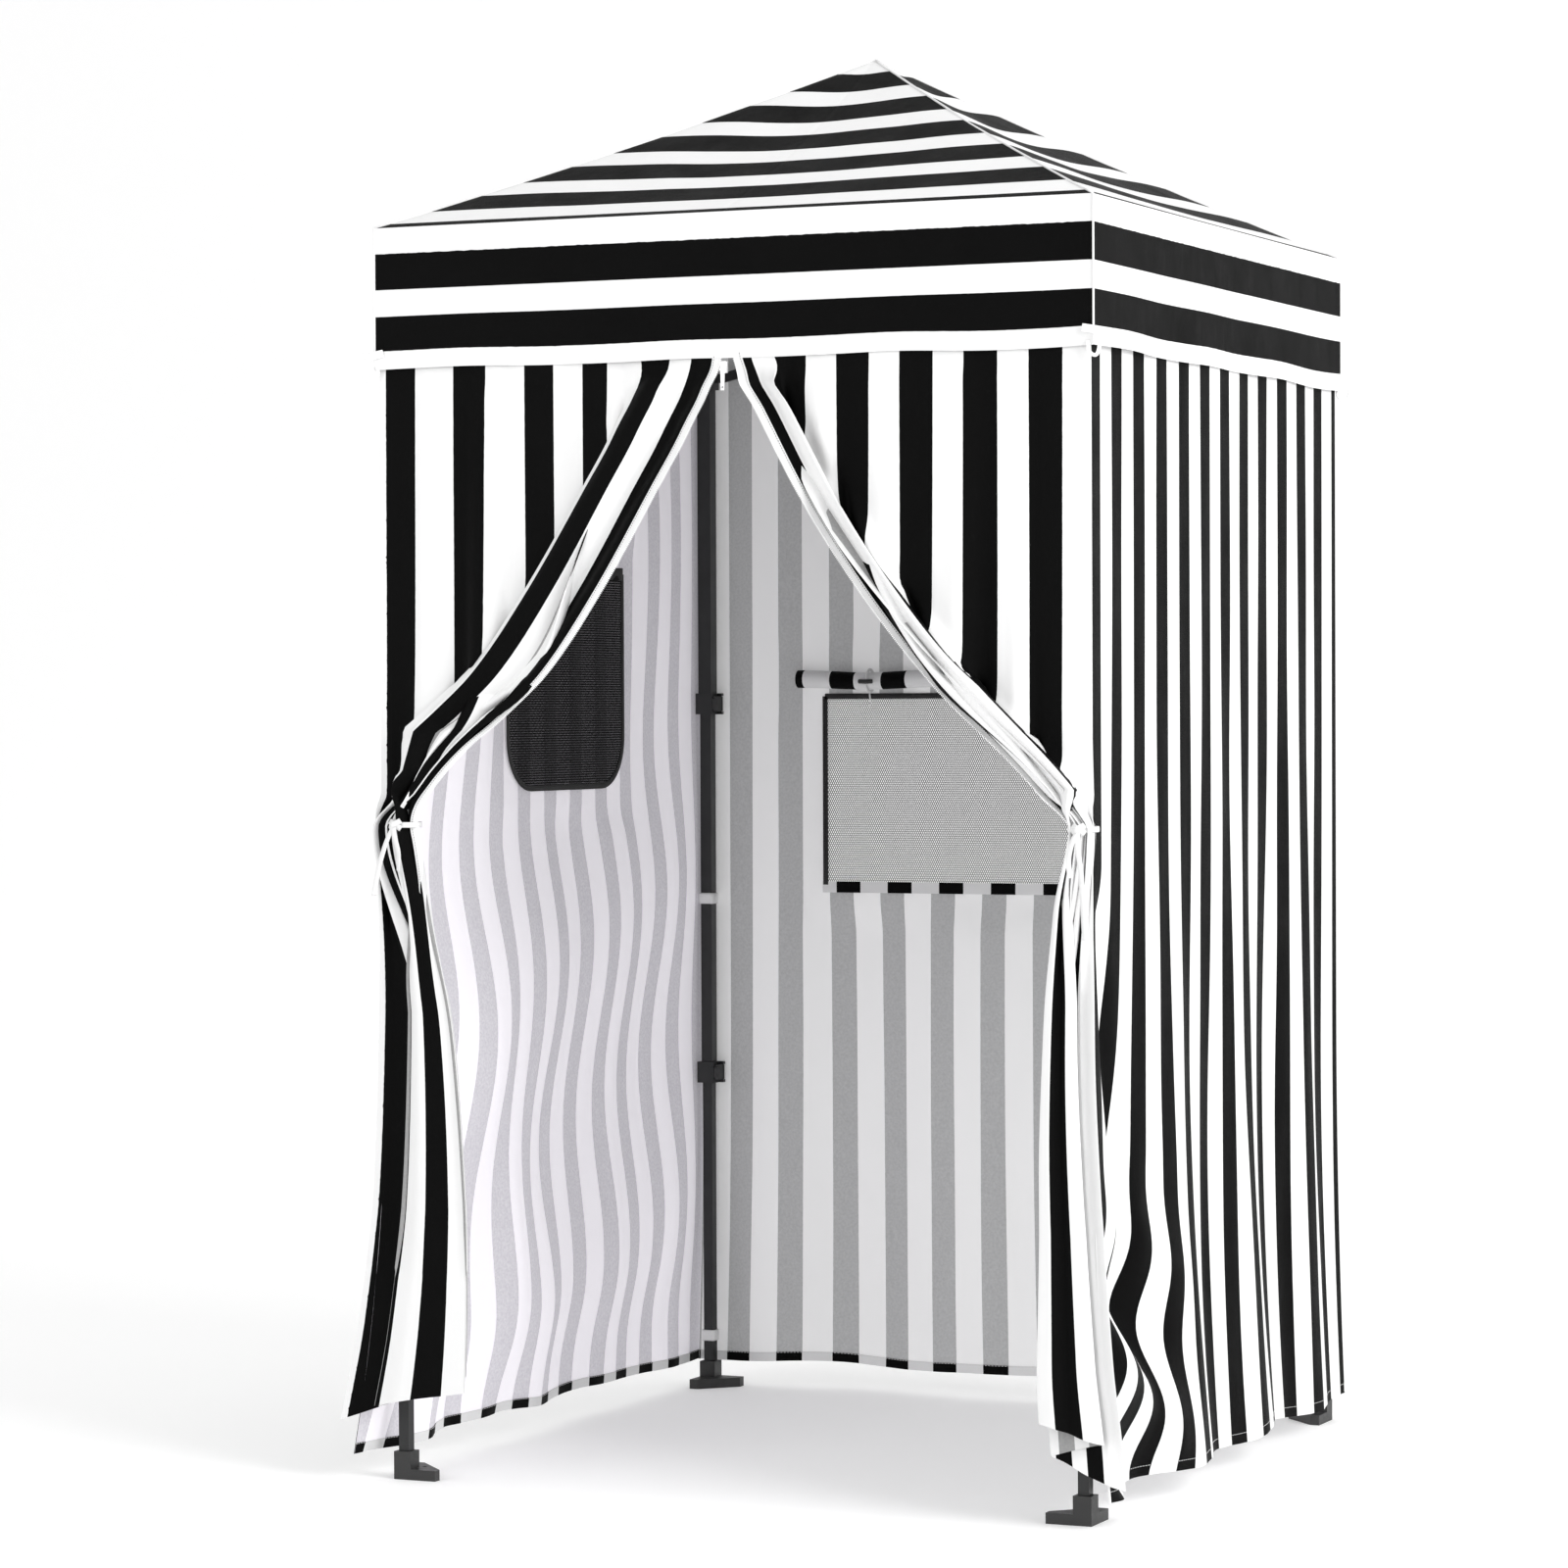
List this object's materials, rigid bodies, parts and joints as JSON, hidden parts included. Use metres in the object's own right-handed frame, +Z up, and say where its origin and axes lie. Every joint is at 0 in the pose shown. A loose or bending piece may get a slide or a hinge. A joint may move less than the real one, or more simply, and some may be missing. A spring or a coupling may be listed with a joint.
{
  "type": "privacy shower tent",
  "caption": "Tall square privacy tent with a folding scissor frame, pyramid roof, striped cloth walls, a swept-open zip door, a net window and an inside pocket.",
  "frame": {"origin": "on the ground, midway between the four legs", "axes": "+Z up, the door side faces -Y, +X to the right of someone who looks at the door"},
  "size_m": [1.286, 1.2854, 2.305],
  "materials": {
    "frame_metal": "dark charcoal powder coat",
    "fitting": "black moulded plastic",
    "cloth": "woven polyester, black and white printed stripes",
    "net": "knitted net",
    "zip_white": "white moulded plastic"
  },
  "bodies": {
    "leg_fl": {"leg_upper_fl": "frame_metal", "canopy": "cloth", "wall_left": "cloth", "door_left": "cloth", "mesh_pocket": "net"},
    "mid_fl": {"leg_middle_fl": "frame_metal"},
    "low_fl": {"leg_lower_fl": "frame_metal", "foot_fl": "fitting"},
    "lever_upper_fl": {"clamp_lever_upper_fl": "fitting"},
    "lever_lower_fl": {"clamp_lever_lower_fl": "fitting"},
    "slider_fl": {"slider_fl": "fitting"},
    "rib_fl": {"roof_rib_fl": "frame_metal"},
    "leg_fr": {"leg_upper_fr": "frame_metal", "wall_right": "cloth", "door_right": "cloth"},
    "mid_fr": {"leg_middle_fr": "frame_metal"},
    "low_fr": {"leg_lower_fr": "frame_metal", "foot_fr": "fitting"},
    "lever_upper_fr": {"clamp_lever_upper_fr": "fitting"},
    "lever_lower_fr": {"clamp_lever_lower_fr": "fitting"},
    "slider_fr": {"slider_fr": "fitting"},
    "rib_fr": {"roof_rib_fr": "frame_metal"},
    "leg_br": {"leg_upper_br": "frame_metal"},
    "mid_br": {"leg_middle_br": "frame_metal"},
    "low_br": {"leg_lower_br": "frame_metal", "foot_br": "fitting"},
    "lever_upper_br": {"clamp_lever_upper_br": "fitting"},
    "lever_lower_br": {"clamp_lever_lower_br": "fitting"},
    "slider_br": {"slider_br": "fitting"},
    "rib_br": {"roof_rib_br": "frame_metal"},
    "leg_bl": {"leg_upper_bl": "frame_metal", "wall_back": "cloth", "window_mesh": "net", "window_roll": "cloth"},
    "mid_bl": {"leg_middle_bl": "frame_metal"},
    "low_bl": {"leg_lower_bl": "frame_metal", "foot_bl": "fitting"},
    "lever_upper_bl": {"clamp_lever_upper_bl": "fitting"},
    "lever_lower_bl": {"clamp_lever_lower_bl": "fitting"},
    "slider_bl": {"slider_bl": "fitting"},
    "rib_bl": {"roof_rib_bl": "frame_metal"},
    "hub": {"hub": "fitting"},
    "zip_slider": {"zipper_slider": "zip_white"},
    "zip_pull": {"zipper_pull": "zip_white"},
    "bar_front_1a": {"bar_front_1a": "frame_metal"},
    "bar_front_1b": {"bar_front_1b": "frame_metal"},
    "bar_front_2a": {"bar_front_2a": "frame_metal"},
    "bar_front_2b": {"bar_front_2b": "frame_metal"},
    "bar_right_1a": {"bar_right_1a": "frame_metal"},
    "bar_right_1b": {"bar_right_1b": "frame_metal"},
    "bar_right_2a": {"bar_right_2a": "frame_metal"},
    "bar_right_2b": {"bar_right_2b": "frame_metal"},
    "bar_back_1a": {"bar_back_1a": "frame_metal"},
    "bar_back_1b": {"bar_back_1b": "frame_metal"},
    "bar_back_2a": {"bar_back_2a": "frame_metal"},
    "bar_back_2b": {"bar_back_2b": "frame_metal"},
    "bar_left_1a": {"bar_left_1a": "frame_metal"},
    "bar_left_1b": {"bar_left_1b": "frame_metal"},
    "bar_left_2a": {"bar_left_2a": "frame_metal"},
    "bar_left_2b": {"bar_left_2b": "frame_metal"}
  },
  "joints": [
    {"name": "frame_fold", "type": "hinge", "parent": "leg_fl", "child": "rib_fl", "pos_m": [-0.569, -0.569, 1.985], "axis": [0.7071, -0.7071, 0], "range_deg": [0, 66], "deforming": ["canopy", "wall_left", "wall_right", "wall_back", "window_mesh", "window_roll", "mesh_pocket", "door_left", "door_right"]},
    {"name": "fold_hub", "type": "hinge", "parent": "rib_fl", "child": "hub", "pos_m": [-0.017, -0.017, 2.17242], "axis": [0.7071, -0.7071, 0], "range_deg": [-66, 0]},
    {"name": "fold_rib_fr", "type": "hinge", "parent": "hub", "child": "rib_fr", "pos_m": [0.017, -0.017, 2.17242], "axis": [0.7071, 0.7071, 0], "range_deg": [0, 66]},
    {"name": "fold_leg_fr", "type": "hinge", "parent": "rib_fr", "child": "leg_fr", "pos_m": [0.569, -0.569, 1.985], "axis": [0.7071, 0.7071, 0], "range_deg": [-66, 0]},
    {"name": "fold_rib_br", "type": "hinge", "parent": "hub", "child": "rib_br", "pos_m": [0.017, 0.017, 2.17242], "axis": [-0.7071, 0.7071, 0], "range_deg": [0, 66]},
    {"name": "fold_leg_br", "type": "hinge", "parent": "rib_br", "child": "leg_br", "pos_m": [0.569, 0.569, 1.985], "axis": [-0.7071, 0.7071, 0], "range_deg": [-66, 0]},
    {"name": "fold_rib_bl", "type": "hinge", "parent": "hub", "child": "rib_bl", "pos_m": [-0.017, 0.017, 2.17242], "axis": [-0.7071, -0.7071, 0], "range_deg": [0, 66]},
    {"name": "fold_leg_bl", "type": "hinge", "parent": "rib_bl", "child": "leg_bl", "pos_m": [-0.569, 0.569, 1.985], "axis": [-0.7071, -0.7071, 0], "range_deg": [-66, 0]},
    {"name": "fold_bar_front_1a", "type": "hinge", "parent": "leg_fl", "child": "bar_front_1a", "pos_m": [-0.552, -0.58, 1.962], "axis": [0, 1, 0], "range_deg": [0, 66]},
    {"name": "fold_bar_front_1b", "type": "hinge", "parent": "bar_front_1a", "child": "bar_front_1b", "pos_m": [-0.276, -0.58, 1.89574], "axis": [0, -1, 0], "range_deg": [0, 132]},
    {"name": "fold_slider_fl", "type": "hinge", "parent": "bar_front_1b", "child": "slider_fl", "pos_m": [-0.552, -0.58, 1.82948], "axis": [0, 1, 0], "range_deg": [0, 66]},
    {"name": "fold_bar_front_2a", "type": "hinge", "parent": "leg_fr", "child": "bar_front_2a", "pos_m": [0.552, -0.58, 1.962], "axis": [0, -1, 0], "range_deg": [0, 66]},
    {"name": "fold_bar_front_2b", "type": "hinge", "parent": "bar_front_2a", "child": "bar_front_2b", "pos_m": [0.276, -0.58, 1.89574], "axis": [0, 1, 0], "range_deg": [0, 132]},
    {"name": "fold_bar_right_1a", "type": "hinge", "parent": "leg_fr", "child": "bar_right_1a", "pos_m": [0.58, -0.552, 1.962], "axis": [-1, 0, 0], "range_deg": [0, 66]},
    {"name": "fold_bar_right_1b", "type": "hinge", "parent": "bar_right_1a", "child": "bar_right_1b", "pos_m": [0.58, -0.276, 1.89574], "axis": [1, 0, 0], "range_deg": [0, 132]},
    {"name": "fold_slider_fr", "type": "hinge", "parent": "bar_right_1b", "child": "slider_fr", "pos_m": [0.58, -0.552, 1.82948], "axis": [-1, 0, 0], "range_deg": [0, 66]},
    {"name": "fold_bar_right_2a", "type": "hinge", "parent": "leg_br", "child": "bar_right_2a", "pos_m": [0.58, 0.552, 1.962], "axis": [1, 0, 0], "range_deg": [0, 66]},
    {"name": "fold_bar_right_2b", "type": "hinge", "parent": "bar_right_2a", "child": "bar_right_2b", "pos_m": [0.58, 0.276, 1.89574], "axis": [-1, 0, 0], "range_deg": [0, 132]},
    {"name": "fold_bar_back_1a", "type": "hinge", "parent": "leg_br", "child": "bar_back_1a", "pos_m": [0.552, 0.58, 1.962], "axis": [0, -1, 0], "range_deg": [0, 66]},
    {"name": "fold_bar_back_1b", "type": "hinge", "parent": "bar_back_1a", "child": "bar_back_1b", "pos_m": [0.276, 0.58, 1.89574], "axis": [0, 1, 0], "range_deg": [0, 132]},
    {"name": "fold_slider_br", "type": "hinge", "parent": "bar_back_1b", "child": "slider_br", "pos_m": [0.552, 0.58, 1.82948], "axis": [0, -1, 0], "range_deg": [0, 66]},
    {"name": "fold_bar_back_2a", "type": "hinge", "parent": "leg_bl", "child": "bar_back_2a", "pos_m": [-0.552, 0.58, 1.962], "axis": [0, 1, 0], "range_deg": [0, 66]},
    {"name": "fold_bar_back_2b", "type": "hinge", "parent": "bar_back_2a", "child": "bar_back_2b", "pos_m": [-0.276, 0.58, 1.89574], "axis": [0, -1, 0], "range_deg": [0, 132]},
    {"name": "fold_bar_left_1a", "type": "hinge", "parent": "leg_bl", "child": "bar_left_1a", "pos_m": [-0.58, 0.552, 1.962], "axis": [1, 0, 0], "range_deg": [0, 66]},
    {"name": "fold_bar_left_1b", "type": "hinge", "parent": "bar_left_1a", "child": "bar_left_1b", "pos_m": [-0.58, 0.276, 1.89574], "axis": [-1, 0, 0], "range_deg": [0, 132]},
    {"name": "fold_slider_bl", "type": "hinge", "parent": "bar_left_1b", "child": "slider_bl", "pos_m": [-0.58, 0.552, 1.82948], "axis": [1, 0, 0], "range_deg": [0, 66]},
    {"name": "fold_bar_left_2a", "type": "hinge", "parent": "leg_fl", "child": "bar_left_2a", "pos_m": [-0.58, -0.552, 1.962], "axis": [-1, 0, 0], "range_deg": [0, 66]},
    {"name": "fold_bar_left_2b", "type": "hinge", "parent": "bar_left_2a", "child": "bar_left_2b", "pos_m": [-0.58, -0.276, 1.89574], "axis": [1, 0, 0], "range_deg": [0, 132]},
    {"name": "fold_zip", "type": "hinge", "parent": "bar_front_1b", "child": "zip_slider", "pos_m": [0, -0.58, 1.962], "axis": [0, 1, 0], "range_deg": [0, 66]},
    {"name": "zip_pull_swing", "type": "hinge", "parent": "zip_slider", "child": "zip_pull", "pos_m": [0, -0.6096, 1.756], "axis": [-1, 0, 0], "range_deg": [0, 120]},
    {"name": "telescope_middle_fl", "type": "slide", "parent": "leg_fl", "child": "mid_fl", "axis": [0, 0, 1], "range_m": [0, 0.6]},
    {"name": "telescope_lower_fl", "type": "slide", "parent": "mid_fl", "child": "low_fl", "axis": [0, 0, 1], "range_m": [0, 0.5]},
    {"name": "clamp_upper_fl", "type": "hinge", "parent": "leg_fl", "child": "lever_upper_fl", "pos_m": [-0.5589, -0.591, 1.24], "axis": [0, 0, -1], "range_deg": [0, 100]},
    {"name": "clamp_lower_fl", "type": "hinge", "parent": "mid_fl", "child": "lever_lower_fl", "pos_m": [-0.5589, -0.591, 0.571], "axis": [0, 0, -1], "range_deg": [0, 100]},
    {"name": "telescope_middle_fr", "type": "slide", "parent": "leg_fr", "child": "mid_fr", "axis": [0, 0, 1], "range_m": [0, 0.6]},
    {"name": "telescope_lower_fr", "type": "slide", "parent": "mid_fr", "child": "low_fr", "axis": [0, 0, 1], "range_m": [0, 0.5]},
    {"name": "clamp_upper_fr", "type": "hinge", "parent": "leg_fr", "child": "lever_upper_fr", "pos_m": [0.5589, -0.591, 1.24], "axis": [0, 0, 1], "range_deg": [0, 100]},
    {"name": "clamp_lower_fr", "type": "hinge", "parent": "mid_fr", "child": "lever_lower_fr", "pos_m": [0.5589, -0.591, 0.571], "axis": [0, 0, 1], "range_deg": [0, 100]},
    {"name": "telescope_middle_br", "type": "slide", "parent": "leg_br", "child": "mid_br", "axis": [0, 0, 1], "range_m": [0, 0.6]},
    {"name": "telescope_lower_br", "type": "slide", "parent": "mid_br", "child": "low_br", "axis": [0, 0, 1], "range_m": [0, 0.5]},
    {"name": "clamp_upper_br", "type": "hinge", "parent": "leg_br", "child": "lever_upper_br", "pos_m": [0.5589, 0.591, 1.24], "axis": [0, 0, -1], "range_deg": [0, 100]},
    {"name": "clamp_lower_br", "type": "hinge", "parent": "mid_br", "child": "lever_lower_br", "pos_m": [0.5589, 0.591, 0.571], "axis": [0, 0, -1], "range_deg": [0, 100]},
    {"name": "telescope_middle_bl", "type": "slide", "parent": "leg_bl", "child": "mid_bl", "axis": [0, 0, 1], "range_m": [0, 0.6]},
    {"name": "telescope_lower_bl", "type": "slide", "parent": "mid_bl", "child": "low_bl", "axis": [0, 0, 1], "range_m": [0, 0.5]},
    {"name": "clamp_upper_bl", "type": "hinge", "parent": "leg_bl", "child": "lever_upper_bl", "pos_m": [-0.5589, 0.591, 1.24], "axis": [0, 0, 1], "range_deg": [0, 100]},
    {"name": "clamp_lower_bl", "type": "hinge", "parent": "mid_bl", "child": "lever_lower_bl", "pos_m": [-0.5589, 0.591, 0.571], "axis": [0, 0, 1], "range_deg": [0, 100]}
  ],
  "couplings": [
    {"joint": "fold_hub", "follows": "frame_fold", "ratio": -1},
    {"joint": "fold_rib_fr", "follows": "frame_fold", "ratio": 1},
    {"joint": "fold_leg_fr", "follows": "frame_fold", "ratio": -1},
    {"joint": "fold_rib_br", "follows": "frame_fold", "ratio": 1},
    {"joint": "fold_leg_br", "follows": "frame_fold", "ratio": -1},
    {"joint": "fold_rib_bl", "follows": "frame_fold", "ratio": 1},
    {"joint": "fold_leg_bl", "follows": "frame_fold", "ratio": -1},
    {"joint": "fold_bar_front_1a", "follows": "frame_fold", "ratio": 1},
    {"joint": "fold_bar_front_1b", "follows": "frame_fold", "ratio": 2},
    {"joint": "fold_slider_fl", "follows": "frame_fold", "ratio": 1},
    {"joint": "fold_bar_front_2a", "follows": "frame_fold", "ratio": 1},
    {"joint": "fold_bar_front_2b", "follows": "frame_fold", "ratio": 2},
    {"joint": "fold_bar_right_1a", "follows": "frame_fold", "ratio": 1},
    {"joint": "fold_bar_right_1b", "follows": "frame_fold", "ratio": 2},
    {"joint": "fold_slider_fr", "follows": "frame_fold", "ratio": 1},
    {"joint": "fold_bar_right_2a", "follows": "frame_fold", "ratio": 1},
    {"joint": "fold_bar_right_2b", "follows": "frame_fold", "ratio": 2},
    {"joint": "fold_bar_back_1a", "follows": "frame_fold", "ratio": 1},
    {"joint": "fold_bar_back_1b", "follows": "frame_fold", "ratio": 2},
    {"joint": "fold_slider_br", "follows": "frame_fold", "ratio": 1},
    {"joint": "fold_bar_back_2a", "follows": "frame_fold", "ratio": 1},
    {"joint": "fold_bar_back_2b", "follows": "frame_fold", "ratio": 2},
    {"joint": "fold_bar_left_1a", "follows": "frame_fold", "ratio": 1},
    {"joint": "fold_bar_left_1b", "follows": "frame_fold", "ratio": 2},
    {"joint": "fold_slider_bl", "follows": "frame_fold", "ratio": 1},
    {"joint": "fold_bar_left_2a", "follows": "frame_fold", "ratio": 1},
    {"joint": "fold_bar_left_2b", "follows": "frame_fold", "ratio": 2},
    {"joint": "fold_zip", "follows": "frame_fold", "ratio": 1}
  ]
}
